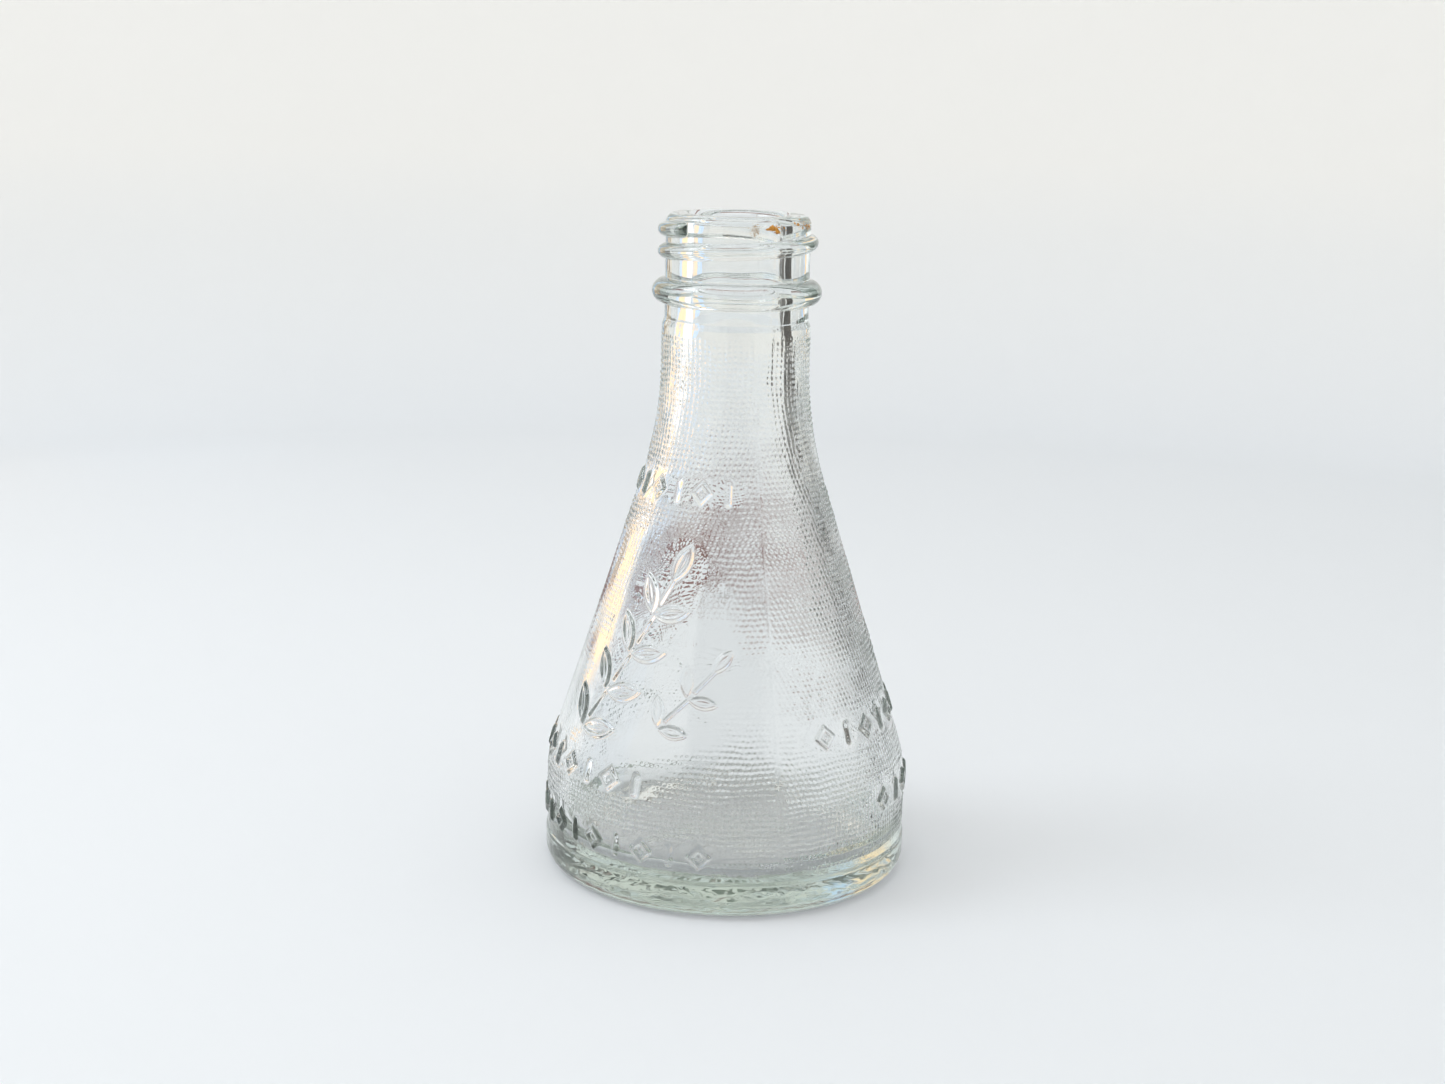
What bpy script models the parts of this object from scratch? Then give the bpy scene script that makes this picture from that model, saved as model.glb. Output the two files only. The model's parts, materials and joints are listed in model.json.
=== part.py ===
"""A small conical bottle of clear moulded glass, with a screw-threaded neck open at the mouth.

The bottle is one piece of glass.  It stands on Z = 0 with its axis on Z and its front facing -Y.
Round shapes are turned about Z, the screw thread is a helix joined to the neck, and the ornament on
the body is a plain pattern of bars, lozenges and leaves, raised a little from the wall.
"""

import math

import bmesh
import bpy

MM = 0.001
SEGMENTS = 60

# Overall sizes
HEIGHT = 99.2 * MM
BODY_DIAMETER = 55.0 * MM
FINISH_DIAMETER = 21.34 * MM

# Screw finish: the top of the neck that takes a cap
BORE_DIAMETER = 13.2 * MM
THREAD_PITCH = 3.175 * MM
THREAD_PROJECTION = 1.16 * MM
THREAD_TURNS = 1.38
THREAD_TOP_DROP = 2.05 * MM
THREAD_END_AZIMUTH = -43.0
LIP_OUTER_ROUND = 1.45 * MM
LIP_INNER_ROUND = 1.50 * MM
BEAD_PROJECTION = 1.90 * MM
BEAD_HEIGHT = 3.70 * MM
PLAIN_NECK = 1.95 * MM
COLLAR_HEIGHT = 2.25 * MM

# Neck, cone and body
NECK_STEP = 0.35 * MM
NECK_STEP_DROP = 0.80 * MM
NECK_LENGTH = 5.6 * MM
FLARE_RADIUS = 59.8 * MM
STRAIGHT_HEIGHT = 16.7 * MM
NECK_WALL = 3.6 * MM
BODY_WALL = 2.6 * MM

# Base
BASE_THICKNESS = 5.0 * MM
HEEL_HEIGHT = 5.45 * MM
HEEL_STEP = 0.28 * MM
HEEL_ROUND = 2.7 * MM
INNER_HEEL_ROUND = 4.6 * MM
BEARING_WIDTH = 3.0 * MM
PUSH_UP = 0.8 * MM

# Raised ornament
RELIEF = 0.45 * MM
RELIEF_ROOT = 0.9 * MM
RELIEF_DRAFT = 0.22 * MM
BAND_HEIGHT = 3.9 * MM
BAND_SPACING = 4.3 * MM
BAND_MARGIN = 2.1 * MM
SIDE_BAND_RISE = 8.9 * MM

# Values that follow from the sizes
BODY_R = BODY_DIAMETER / 2
FINISH_R = FINISH_DIAMETER / 2
NECK_R = FINISH_R + NECK_STEP
BORE_R = BORE_DIAMETER / 2
LIP_ROUND_LIMIT = 0.38 * (FINISH_R - BORE_R)
LIP_OUTER = min(LIP_OUTER_ROUND, LIP_ROUND_LIMIT)
LIP_INNER = min(LIP_INNER_ROUND, LIP_ROUND_LIMIT)
THREAD_SECTION = 0.70 * THREAD_PITCH
THREAD_TOP_Z = HEIGHT - THREAD_TOP_DROP
THREAD_FOOT_Z = THREAD_TOP_Z - THREAD_TURNS * THREAD_PITCH
THREAD_START_AZIMUTH = THREAD_END_AZIMUTH - 360 * THREAD_TURNS
BEAD_TOP_Z = THREAD_FOOT_Z - THREAD_SECTION / 2 - PLAIN_NECK
BEAD_FOOT_Z = BEAD_TOP_Z - BEAD_HEIGHT
COLLAR_FOOT_Z = BEAD_FOOT_Z - COLLAR_HEIGHT
NECK_TOP_Z = COLLAR_FOOT_Z - NECK_STEP_DROP
FLARE_START = NECK_TOP_Z - NECK_LENGTH


def cone_angle():
    """Angle of the cone's side from the vertical, where the flare runs straight into the cone."""
    across = NECK_R + FLARE_RADIUS - BODY_R
    down = FLARE_START - STRAIGHT_HEIGHT
    return math.atan2(down, across) - math.acos(FLARE_RADIUS / math.hypot(across, down))


CONE_ANGLE = cone_angle()
FLARE_END = FLARE_START - FLARE_RADIUS * math.sin(CONE_ANGLE)
FLARE_END_R = NECK_R + FLARE_RADIUS * (1 - math.cos(CONE_ANGLE))


def slope_at(z):
    """Angle of the outer side from the vertical at a height on the neck, cone or body."""
    if z >= FLARE_START or z <= STRAIGHT_HEIGHT:
        return 0.0
    if z >= FLARE_END:
        return math.asin((FLARE_START - z) / FLARE_RADIUS)
    return CONE_ANGLE


def side_radius(z):
    """Outer radius of the neck, flare, cone and body at a height."""
    if z >= FLARE_START:
        return NECK_R
    if z >= FLARE_END:
        return NECK_R + FLARE_RADIUS * (1 - math.cos(slope_at(z)))
    if z >= STRAIGHT_HEIGHT:
        return FLARE_END_R + (FLARE_END - z) * math.tan(CONE_ANGLE)
    return BODY_R


def inner_radius(z):
    """Inner radius below the finish: the wall thins from the neck to the end of the flare."""
    share = min(1.0, max(0.0, (FLARE_START - z) / (FLARE_START - FLARE_END)))
    wall = NECK_WALL + (BODY_WALL - NECK_WALL) * share
    return side_radius(z) - wall / math.cos(slope_at(z))


def quarter(centre_r, centre_z, size_r, size_z, start, end, steps):
    """Points along part of an ellipse, with angles in degrees from the outward direction."""
    points = []
    for step in range(steps + 1):
        angle = math.radians(start + (end - start) * step / steps)
        points.append((centre_r + size_r * math.cos(angle), centre_z + size_z * math.sin(angle)))
    return points


def spread(top, foot, count):
    """Evenly spaced heights strictly between two heights, from the top down."""
    return [top + (foot - top) * (step + 1) / (count + 1) for step in range(count)]


def cavity_profile():
    """The inside, from the middle of the floor up to the flat land of the lip."""
    floor_r = inner_radius(STRAIGHT_HEIGHT) - INNER_HEEL_ROUND
    points = [(0.0, BASE_THICKNESS + 0.3 * MM), (floor_r * 0.6, BASE_THICKNESS + 0.15 * MM)]
    points += quarter(floor_r, BASE_THICKNESS + INNER_HEEL_ROUND,
                      INNER_HEEL_ROUND, INNER_HEEL_ROUND, -90, 0, 5)
    heights = [STRAIGHT_HEIGHT] + spread(STRAIGHT_HEIGHT, FLARE_END, 3) + [FLARE_END]
    heights += spread(FLARE_END, FLARE_START, 4) + [FLARE_START]
    points += [(inner_radius(z), z) for z in heights]
    points += [((inner_radius(FLARE_START) + BORE_R) / 2, (FLARE_START + NECK_TOP_Z) / 2 + 1.0 * MM)]
    points += [(BORE_R, COLLAR_FOOT_Z + 0.8 * MM)]
    points += quarter(BORE_R + LIP_INNER, HEIGHT - LIP_INNER, LIP_INNER, LIP_INNER, 180, 90, 4)
    return points


def finish_profile():
    """The outside of the finish, from the lip down to the collar under the bead."""
    points = quarter(FINISH_R - LIP_OUTER, HEIGHT - LIP_OUTER, LIP_OUTER, LIP_OUTER, 90, 0, 4)
    points += [(FINISH_R, (THREAD_TOP_Z + THREAD_FOOT_Z) / 2)]
    bead_mid = (BEAD_TOP_Z + BEAD_FOOT_Z) / 2
    points += quarter(FINISH_R, bead_mid, BEAD_PROJECTION, BEAD_HEIGHT / 2, 90, -90, 8)
    points += [(FINISH_R, COLLAR_FOOT_Z)]
    return points


def side_profile():
    """The outside of the neck, flare, cone and body, down to the step above the heel."""
    points = [((FINISH_R + 2 * NECK_R) / 3, COLLAR_FOOT_Z - 0.25 * MM), (NECK_R, NECK_TOP_Z)]
    heights = [FLARE_START] + spread(FLARE_START, FLARE_END, 5) + [FLARE_END]
    heights += spread(FLARE_END, STRAIGHT_HEIGHT, 4) + [STRAIGHT_HEIGHT]
    points += [(side_radius(z), z) for z in heights]
    points += [(BODY_R, HEEL_HEIGHT + 0.35 * MM)]
    return points


def base_profile():
    """The heel, the flat bearing ring and the shallow push-up, ending on the axis."""
    heel_r = BODY_R + HEEL_STEP
    foot_r = heel_r - HEEL_ROUND
    points = [(heel_r, HEEL_HEIGHT)]
    points += quarter(foot_r, HEEL_ROUND, HEEL_ROUND, HEEL_ROUND, 0, -90, 5)
    points += [(foot_r - BEARING_WIDTH, 0.0)]
    points += [(foot_r - BEARING_WIDTH - 1.6 * MM, 0.75 * PUSH_UP)]
    points += [(foot_r - BEARING_WIDTH - 4.0 * MM, PUSH_UP)]
    points += [(0.0, PUSH_UP)]
    return points


def turned(name, points):
    """A solid turned about Z from a profile that starts and ends on the axis."""
    mesh = bpy.data.meshes.new(name)
    mesh.from_pydata([(r, 0.0, z) for r, z in points],
                     [(index, index + 1) for index in range(len(points) - 1)], [])
    solid = bpy.data.objects.new(name, mesh)
    screw = solid.modifiers.new("turn", "SCREW")
    screw.axis = "Z"
    screw.angle = math.tau
    screw.steps = SEGMENTS
    screw.render_steps = SEGMENTS
    screw.use_merge_vertices = True
    screw.merge_threshold = 0.00001
    return solid


def thread_section(azimuth, size):
    """The thread's rounded section at an azimuth from the front: size is 1 in full, 0 when buried."""
    crest = FINISH_R + (THREAD_PROJECTION + 0.25 * MM) * size - 0.25 * MM
    root = FINISH_R - 0.9 * MM
    flank = crest - 0.22 * (crest - root)
    foot = crest - 0.62 * (crest - root)
    half = THREAD_SECTION / 2 * (0.45 + 0.55 * size)
    middle = THREAD_TOP_Z - (THREAD_END_AZIMUTH - azimuth) / 360 * THREAD_PITCH
    shape = [(root, -1.0), (foot, -1.0), (flank, -0.72), (crest, -0.22),
             (crest, 0.22), (flank, 0.72), (foot, 1.0), (root, 1.0)]
    turn = math.radians(azimuth)
    return [(r * math.sin(turn), -r * math.cos(turn), middle + half * lift) for r, lift in shape]


def thread_size(azimuth):
    """How far the thread has risen: a long fade in at the foot, a short blunt end at the top."""
    fade_in = min(1.0, (azimuth - THREAD_START_AZIMUTH) / 75.0)
    blunt = min(1.0, (THREAD_END_AZIMUTH - azimuth) / 14.0)
    return math.sin(fade_in * math.pi / 2) * math.sqrt(max(0.0, 1 - (1 - blunt) ** 2))


def thread_azimuths():
    """Where the thread has its sections: its two ends, and the middle of each facet of the neck."""
    facet = 360 / SEGMENTS
    first = math.ceil((THREAD_START_AZIMUTH + 1.0) / facet - 0.5)
    last = math.floor((THREAD_END_AZIMUTH - 10.0) / facet - 0.5)
    middles = [(index + 0.5) * facet for index in range(first, last + 1)]
    blunt_end = [THREAD_END_AZIMUTH - back for back in (8.3, 4.4, 1.6, 0.0)]
    return [THREAD_START_AZIMUTH] + middles + blunt_end


def thread_solid():
    """The screw thread, a closed right-handed helix whose root lies inside the neck."""
    mesh = bpy.data.meshes.new("thread")
    work = bmesh.new()
    rings = [[work.verts.new(point) for point in thread_section(azimuth, thread_size(azimuth))]
             for azimuth in thread_azimuths()]
    for before, after in zip(rings, rings[1:]):
        for index in range(len(before)):
            follow = (index + 1) % len(before)
            work.faces.new((before[index], before[follow], after[follow], after[index]))
    work.faces.new(rings[0][::-1])
    work.faces.new(rings[-1])
    bmesh.ops.triangulate(work, faces=work.faces)
    bmesh.ops.recalc_face_normals(work, faces=work.faces)
    work.to_mesh(mesh)
    work.free()
    return bpy.data.objects.new("thread", mesh)


def on_side(azimuth, z, proud):
    """A point on the side: azimuth in degrees from the front, positive towards +X."""
    turn = math.radians(azimuth)
    r = side_radius(z) + proud
    return (r * math.sin(turn), -r * math.cos(turn), z)


def add_pad(work, azimuth, z, outline):
    """One raised pad, from an outline of points (across, up) in metres around its centre."""
    foot = []
    crest = []
    for across, up in outline:
        reach = math.hypot(across, up)
        inset = (reach - RELIEF_DRAFT) / reach
        wide = math.degrees(across / side_radius(z + up))
        foot.append(work.verts.new(on_side(azimuth + wide, z + up, -RELIEF_ROOT)))
        crest.append(work.verts.new(on_side(azimuth + wide * inset, z + up * inset, RELIEF)))
    for index in range(len(outline)):
        follow = (index + 1) % len(outline)
        work.faces.new((foot[index], foot[follow], crest[follow], crest[index]))
    work.faces.new(foot[::-1])
    work.faces.new(crest)


def lozenge(width, height):
    """A diamond outline."""
    return [(width / 2, 0.0), (0.0, height / 2), (-width / 2, 0.0), (0.0, -height / 2)]


def bar(width, height):
    """An upright bar outline."""
    return [(width / 2, -height / 2), (width / 2, height / 2),
            (-width / 2, height / 2), (-width / 2, -height / 2)]


def add_leaf(work, azimuth, z, lean, span, rise):
    """A pointed oval pad that leans by an angle: span is its length round the body in degrees if it
    lies level, and rise is its length if it stands upright."""
    shape = [(0.5, 0.0), (0.2, 0.21), (-0.2, 0.21), (-0.5, 0.0), (-0.2, -0.21), (0.2, -0.21)]
    cosine = math.cos(math.radians(lean))
    sine = math.sin(math.radians(lean))
    level = math.radians(span) * side_radius(z)
    add_pad(work, azimuth, z, [((x * cosine - y * sine) * level, (x * sine + y * cosine) * rise)
                               for x, y in shape])


def add_band(work, z, first, last, spacing, height):
    """A level band of bars and lozenges by turns, from one azimuth to another."""
    arc = math.radians(last - first) * side_radius(z)
    count = max(2, int(arc / spacing))
    for index in range(count):
        azimuth = first + (last - first) * (index + 0.5) / count
        if index % 2:
            add_pad(work, azimuth, z, bar(0.36 * spacing, height))
        else:
            add_pad(work, azimuth, z, lozenge(0.86 * spacing, height))


def add_sprig(work, start, end, pairs, span):
    """A slanting sprig: pairs of leaves along a line between two places, and one leaf at its tip."""
    (first_azimuth, first_z), (last_azimuth, last_z) = start, end
    rise = 1.07 * (last_z - first_z) / pairs
    lean = math.degrees(math.atan2((last_z - first_z) / rise, (last_azimuth - first_azimuth) / span))
    for index in range(pairs):
        share = index / pairs
        azimuth = first_azimuth + (last_azimuth - first_azimuth) * share
        z = first_z + (last_z - first_z) * share
        for side in (1, -1):
            turn = math.radians(lean + 90 * side)
            add_leaf(work, azimuth + 0.42 * span * math.cos(turn), z + 0.42 * rise * math.sin(turn),
                     lean + 52 * side, span, rise)
    add_leaf(work, last_azimuth, last_z, lean, span, rise)


def ornament_solid():
    """All of the raised ornament, as separate pads whose roots lie inside the wall."""
    half = BAND_HEIGHT / 2
    low_z = HEEL_HEIGHT + BAND_MARGIN + half
    second_z = STRAIGHT_HEIGHT + 0.1 * BAND_MARGIN + half
    sprig_base = second_z + half
    sprig_room = FLARE_END - sprig_base
    mesh = bpy.data.meshes.new("ornament")
    work = bmesh.new()
    add_band(work, FLARE_END + 0.35 * BAND_MARGIN, -92, 6, 0.84 * BAND_SPACING, BAND_HEIGHT)
    add_sprig(work, (-56, sprig_base + 0.14 * sprig_room), (-24, sprig_base + 0.76 * sprig_room), 4, 17)
    add_sprig(work, (-22, sprig_base + 0.19 * sprig_room), (-2, sprig_base + 0.42 * sprig_room), 2, 11)
    add_band(work, second_z, -104, -24, BAND_SPACING, BAND_HEIGHT)
    add_band(work, low_z, -104, -3, BAND_SPACING, BAND_HEIGHT)
    add_band(work, STRAIGHT_HEIGHT + SIDE_BAND_RISE, 30, 104, BAND_SPACING, BAND_HEIGHT)
    add_band(work, STRAIGHT_HEIGHT - 0.1 * BAND_MARGIN - half, 54, 104, BAND_SPACING, BAND_HEIGHT)
    bmesh.ops.triangulate(work, faces=work.faces)
    bmesh.ops.recalc_face_normals(work, faces=work.faces)
    work.to_mesh(mesh)
    work.free()
    return bpy.data.objects.new("ornament", mesh)


def glass():
    """Clear glass with a faint green-grey cast."""
    material = bpy.data.materials.new("clear_glass")
    material.use_nodes = True
    shader = material.node_tree.nodes["Principled BSDF"]
    shader.inputs["Base Color"].default_value = (0.93, 0.96, 0.94, 1.0)
    shader.inputs["Transmission Weight"].default_value = 1.0
    shader.inputs["IOR"].default_value = 1.52
    shader.inputs["Roughness"].default_value = 0.03
    return material


def collection(name):
    """A new collection in the scene."""
    group = bpy.data.collections.new(name)
    bpy.context.scene.collection.children.link(group)
    return group


def join_to(solid, tool):
    """Join a tool solid to a solid."""
    union = solid.modifiers.new("join_" + tool.name, "BOOLEAN")
    union.operation = "UNION"
    union.solver = "EXACT"
    union.object = tool


def build():
    """Make the bottle and the two solids that are joined to it."""
    for item in list(bpy.data.objects):
        bpy.data.objects.remove(item, do_unlink=True)
    parts = collection("conical_bottle")
    tools = collection("cutters")
    bottle = turned("glass_bottle", cavity_profile() + finish_profile() + side_profile() + base_profile())
    parts.objects.link(bottle)
    bottle.data.materials.append(glass())
    for tool in (thread_solid(), ornament_solid()):
        tools.objects.link(tool)
        tool.hide_render = True
        tool.display_type = "WIRE"
        join_to(bottle, tool)


build()
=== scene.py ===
"""The looks of the small conical glass bottle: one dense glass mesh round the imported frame.

Lengths in this file are millimetres until `metres` turns them into Blender's units.  The bottle's
axis is Z, its front faces -Y, and azimuths are degrees from the front, positive towards +X.
"""

import json
import math

import bpy
import numpy as np
from mathutils import Matrix, Vector


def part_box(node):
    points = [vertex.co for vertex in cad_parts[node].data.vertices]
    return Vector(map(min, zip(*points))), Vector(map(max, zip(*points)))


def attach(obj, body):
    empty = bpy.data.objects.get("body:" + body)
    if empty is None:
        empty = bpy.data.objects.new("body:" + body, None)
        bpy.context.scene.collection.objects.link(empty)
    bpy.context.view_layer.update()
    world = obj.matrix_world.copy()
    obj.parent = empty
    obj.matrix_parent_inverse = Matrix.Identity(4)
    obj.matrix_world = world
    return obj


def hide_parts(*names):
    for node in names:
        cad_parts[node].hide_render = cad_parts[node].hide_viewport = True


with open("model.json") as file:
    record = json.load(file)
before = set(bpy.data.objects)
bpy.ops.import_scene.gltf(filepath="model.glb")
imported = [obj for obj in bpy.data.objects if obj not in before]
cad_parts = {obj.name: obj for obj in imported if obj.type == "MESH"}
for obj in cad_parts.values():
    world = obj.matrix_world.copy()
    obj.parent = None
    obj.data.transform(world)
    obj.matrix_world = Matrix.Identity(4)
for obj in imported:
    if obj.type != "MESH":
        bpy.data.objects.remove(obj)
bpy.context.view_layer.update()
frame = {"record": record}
NODE = "glass_bottle"
LOW, HIGH = (np.array(corner) * 1000 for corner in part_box(NODE))
MOUNTS = {mount["name"]: np.array(mount["pos_m"]) * 1000 for mount in frame["record"]["mounts"]}
RNG = np.random.default_rng(24)


def metres(value):
    """Millimetres as metres."""
    return value * 0.001


# ---------------------------------------------------------------- sizes, in millimetres
RELIEF = 0.44  # how far the ornament stands out
BOX_MARGIN = 0.45  # the box is wider than the plain body by the ornament
TOP = MOUNTS["lip_seal"][2]
BODY_R = (HIGH[0] - LOW[0]) / 2 - BOX_MARGIN
FINISH_R = 10.67
NECK_STEP = 0.35
NECK_R = FINISH_R + NECK_STEP
BORE_R = 6.6
LIP_ROUND = 1.45
BORE_ROUND = 1.5

# The thread.  Its end is a bearing, in degrees, and its top is the middle of the blunt end.
PITCH = 3.175
THREAD_PROUD = 1.14
THREAD_TURNS = 1.38
THREAD_END = -43.0
THREAD_TOP = TOP - 2.05
THREAD_HALF = 0.36 * PITCH
THREAD_FADE = 95  # degrees over which the foot rises to full height
THREAD_BLUNT = 9.5  # degrees over which the top end rounds off

# Bead, collar, neck and flare, each below the last.
BEAD_TOP = THREAD_TOP - THREAD_TURNS * PITCH - 0.35 * PITCH - 1.95
BEAD_FOOT = BEAD_TOP - 3.7
BEAD_PROUD = 1.88
COLLAR_FOOT = BEAD_FOOT - 2.25
COLLAR_SLOPE = 0.8
NECK_TOP = COLLAR_FOOT - COLLAR_SLOPE
FLARE_TOP = NECK_TOP - 5.6
FLARE_R = 59.8

# Body, heel and underside, up from the floor.
STRAIGHT = 16.7
HEEL = 5.45
HEEL_STEP = 0.26
HEEL_GROOVE = 0.12
HEEL_ROUND = 2.7
BEARING_RING = 3.0
PUSH_UP = 0.8
HUB_R = 0.6  # the small disc in the middle of the push-up and of the cavity's floor

# The cavity.
FLOOR_Z = 5.0
FLOOR_CROWN = 0.3
NECK_WALL = 3.6
BODY_WALL = 2.6
INNER_HEEL = 4.6

# The surface.
SEAM = 17.0  # bearing of one mould seam; the other is half a turn round
WEAVE = 0.78
WEAVE_PROUD = 0.070
BODY_SEAM = 0.055
BODY_SEAM_HALF = 0.16
BODY_SAG = 0.03
FINISH_SEAM = 0.028
FINISH_SEAM_HALF = 0.13
FINISH_SAG = 0.018
HEEL_RIPPLE = 0.055
HEEL_STIPPLE = 0.05
COLUMNS = 1080  # points round the body

_across = NECK_R + FLARE_R - BODY_R
_down = FLARE_TOP - STRAIGHT
CONE = math.atan2(_down, _across) - math.acos(FLARE_R / math.hypot(_across, _down))
FLARE_FOOT = FLARE_TOP - FLARE_R * math.sin(CONE)
FLARE_FOOT_R = NECK_R + FLARE_R * (1 - math.cos(CONE))


def side_r(z):
    """Outer radius of the neck, flare, cone and straight body, before any relief."""
    z = np.asarray(z, float)
    lean = np.arcsin(np.clip((FLARE_TOP - z) / FLARE_R, 0.0, math.sin(CONE)))
    flare = NECK_R + FLARE_R * (1 - np.cos(lean))
    cone = FLARE_FOOT_R + (FLARE_FOOT - z) * math.tan(CONE)
    raw = np.where(z >= FLARE_FOOT, flare, cone)
    soft = 0.35  # size of the round where the cone meets the straight body
    return BODY_R - soft * np.logaddexp(0.0, (BODY_R - raw) / soft)


def smooth(edge0, edge1, x):
    """0 below edge0, 1 above edge1, and a smooth rise between."""
    t = np.clip((np.asarray(x, float) - edge0) / (edge1 - edge0), 0.0, 1.0)
    return t * t * (3 - 2 * t)


def arc(centre_r, centre_z, size_r, size_z, start, end, count):
    """Points along part of an ellipse, angles in degrees from outward."""
    angle = np.radians(np.linspace(start, end, count))
    return np.stack([centre_r + size_r * np.cos(angle), centre_z + size_z * np.sin(angle)], -1)


def line(r0, z0, r1, z1, step):
    """Points along a straight line at about a step."""
    count = max(2, int(math.hypot(r1 - r0, z1 - z0) / step) + 1)
    return np.stack([np.linspace(r0, r1, count), np.linspace(z0, z1, count)], -1)


def join(parts):
    """One polyline of the parts with doubled points dropped."""
    points = np.concatenate(parts)
    keep = np.concatenate([[True], np.hypot(*np.diff(points, axis=0).T) > 1e-4])
    return points[keep]


def eased(points, times):
    """A polyline with its corners rounded a little, its ends held."""
    for _ in range(times):
        points = points.copy()
        points[1:-1] = 0.25 * points[:-2] + 0.5 * points[1:-1] + 0.25 * points[2:]
    return points


# ---------------------------------------------------------------- profiles
def finish_profile(step):
    """Lip, threaded neck, bead and collar, from the middle of the lip down to the neck's top."""
    lip = LIP_ROUND
    lip_arc, bead_arc = 2.4, 5.5  # lengths that set how many points each round has
    middle = (BORE_R + FINISH_R) / 2
    bead_mid = (BEAD_TOP + BEAD_FOOT) / 2
    bead_half = (BEAD_TOP - BEAD_FOOT) / 2
    parts = [line(middle, TOP, FINISH_R - lip, TOP - 0.02, step),
             arc(FINISH_R - lip, TOP - lip, lip, lip, 89, 0, int(lip_arc / step)),
             line(FINISH_R, TOP - lip, FINISH_R, BEAD_TOP, step),
             arc(FINISH_R, bead_mid, BEAD_PROUD, bead_half, 90, -90, int(bead_arc / step)),
             line(FINISH_R, BEAD_FOOT, FINISH_R, COLLAR_FOOT, step),
             line(FINISH_R, COLLAR_FOOT, NECK_R, NECK_TOP, step / 2)]
    return eased(join(parts), 3)


def body_profile(step):
    """Neck, flare, cone and straight body, down to just above the heel's step."""
    z = np.linspace(NECK_TOP, HEEL + 0.5, int((NECK_TOP - HEEL) / (step * 0.95)))
    return np.stack([side_r(z), z], -1)


def heel_profile(step):
    """The step, the rounded heel band, the bearing ring and the push-up, towards the axis."""
    heel_r = BODY_R + HEEL_STEP
    foot_r = heel_r - HEEL_ROUND
    heel_arc = 4.2  # length that sets how many points the round has
    groove_r = BODY_R - HEEL_GROOVE
    ring_r = foot_r - BEARING_RING
    slope_r = ring_r - 1.6
    flat_r = foot_r - 7.0
    parts = [line(BODY_R, HEEL + 0.45, groove_r, HEEL + 0.28, step / 2),
             line(groove_r, HEEL + 0.28, heel_r, HEEL - 0.1, step / 2),
             line(heel_r, HEEL - 0.1, heel_r, HEEL_ROUND, step),
             arc(foot_r, HEEL_ROUND, HEEL_ROUND, HEEL_ROUND, 0, -90, int(heel_arc / step)),
             line(foot_r, 0.0, ring_r, 0.0, step),
             line(ring_r, 0.0, slope_r, 0.75 * PUSH_UP, step),
             line(slope_r, 0.75 * PUSH_UP, flat_r, PUSH_UP, step * 2),
             line(flat_r, PUSH_UP, HUB_R, PUSH_UP, step * 6)]
    return eased(join(parts), 2)


def inner_r(z):
    """Inner radius below the finish."""
    share = np.clip((FLARE_TOP - z) / (FLARE_TOP - FLARE_FOOT), 0, 1)
    wall = NECK_WALL + (BODY_WALL - NECK_WALL) * share
    slope = np.arcsin(np.clip((FLARE_TOP - z) / FLARE_R, 0, math.sin(CONE)))
    lean = np.where(z < STRAIGHT, 0, slope)
    return side_r(z) - wall / np.cos(lean)


def cavity_profile(step):
    """The inside, from the lip's middle down the bore and the cone to the middle of the floor."""
    lip = BORE_ROUND
    middle = (BORE_R + FINISH_R) / 2
    bore_foot = COLLAR_FOOT + COLLAR_SLOPE
    heel_top = FLOOR_Z + INNER_HEEL
    z = np.arange(FLARE_TOP, heel_top, -step)
    floor_r = float(inner_r(heel_top)) - INNER_HEEL
    blend = np.linspace(bore_foot, FLARE_TOP, 16)[1:-1]
    mix = smooth(bore_foot, FLARE_TOP, blend)
    parts = [line(middle - 0.2, TOP, BORE_R + lip, TOP - 0.02, step / 2),
             arc(BORE_R + lip, TOP - lip, lip, lip, 91, 180, 16),
             line(BORE_R, TOP - lip, BORE_R, bore_foot, step),
             np.stack([BORE_R + mix * (float(inner_r(FLARE_TOP)) - BORE_R), blend], -1),
             np.stack([inner_r(z), z], -1),
             arc(floor_r, heel_top, INNER_HEEL, INNER_HEEL, 0, -90, 22),
             line(floor_r, FLOOR_Z, HUB_R, FLOOR_Z + FLOOR_CROWN, step * 2)]
    return eased(join(parts), 3)


# ---------------------------------------------------------------- relief
def waves(azimuth, height, count, span, seed):
    """Soft irregular waves of about 1 in size over the surface, periodic round the bottle."""
    draw = np.random.default_rng(seed)
    total = np.zeros(np.broadcast(azimuth, height).shape)
    for _ in range(count):
        turns = draw.integers(1, 9)
        rate = draw.uniform(0.4, 1.6) / span
        phase = draw.uniform(0, math.tau, 2)
        round_about = np.sin(np.radians(azimuth) * turns + phase[0])
        total += round_about * np.sin(height * math.tau * rate + phase[1])
    return total * math.sqrt(2 / count) / 1.4


def grainy(azimuth, z, cell, seed):
    """Smooth random values of about 1 in size, with a cell size in mm, periodic round the bottle."""
    columns = int(math.tau * BODY_R / cell)
    coarse = np.random.default_rng(seed).normal(size=(int(TOP / cell) + 3, columns))
    row, column = z / cell, azimuth % 360 / 360 * columns
    low_row, low_column = row.astype(int), column.astype(int)
    blend_row = smooth(0, 1, row - low_row)[:, None]
    blend_column = smooth(0, 1, column - low_column)
    next_column = (low_column + 1) % columns
    rows = coarse[low_row] * (1 - blend_row) + coarse[low_row + 1] * blend_row
    return rows[:, low_column] * (1 - blend_column) + rows[:, next_column] * blend_column


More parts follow.
